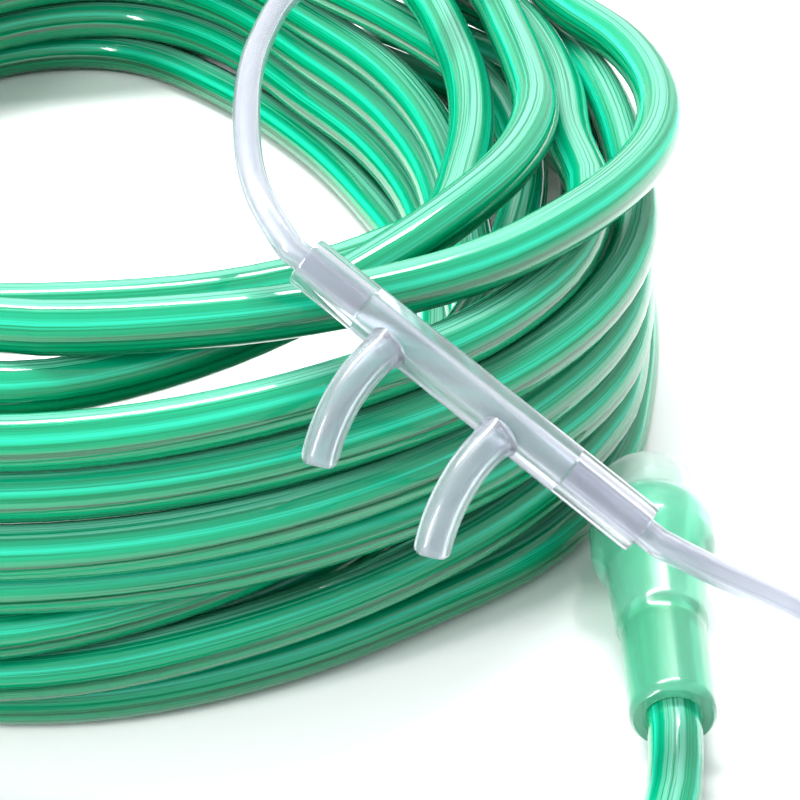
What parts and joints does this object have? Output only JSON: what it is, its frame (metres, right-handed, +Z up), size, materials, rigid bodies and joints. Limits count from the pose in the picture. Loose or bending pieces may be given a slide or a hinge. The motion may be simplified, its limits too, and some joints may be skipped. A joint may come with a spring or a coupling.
{
  "type": "nasal oxygen cannula",
  "caption": "Nasal oxygen cannula with curved soft prongs, thin face tubes, a slide and a Y connector, and a long green supply tube in a loose coil ending in a flared oxygen connector.",
  "frame": {"origin": "on the floor the cannula lies on, below the middle of the box round the nosepiece, slide, Y connector and oxygen connector", "axes": "+Z up from the floor, +X from the Y connector's side of the coil to the oxygen connector's side, +Y from the nosepiece back over the coil"},
  "size_m": [0.191, 0.2357, 0.0592],
  "materials": {
    "clear_vinyl": "clear soft vinyl, frosted between the moulded sockets and on the prongs",
    "green_vinyl": "see-through green soft vinyl tube with fine lengthwise ribs inside",
    "pale_green_vinyl": "milky pale green soft vinyl"
  },
  "bodies": {
    "cannula": {"nosepiece": "clear_vinyl", "y_connector": "clear_vinyl", "oxygen_connector": "pale_green_vinyl", "supply_coil": "green_vinyl", "left_thin_tube": "clear_vinyl", "right_thin_tube": "clear_vinyl", "supply_tube_from_y": "green_vinyl", "supply_tube_to_connector": "green_vinyl"},
    "slide": {"slide": "clear_vinyl"}
  },
  "joints": [
    {"name": "slide_along_tubes", "type": "slide", "parent": "cannula", "child": "slide", "axis": [0, 1, 0], "range_m": [-0.01, 0.006]}
  ]
}
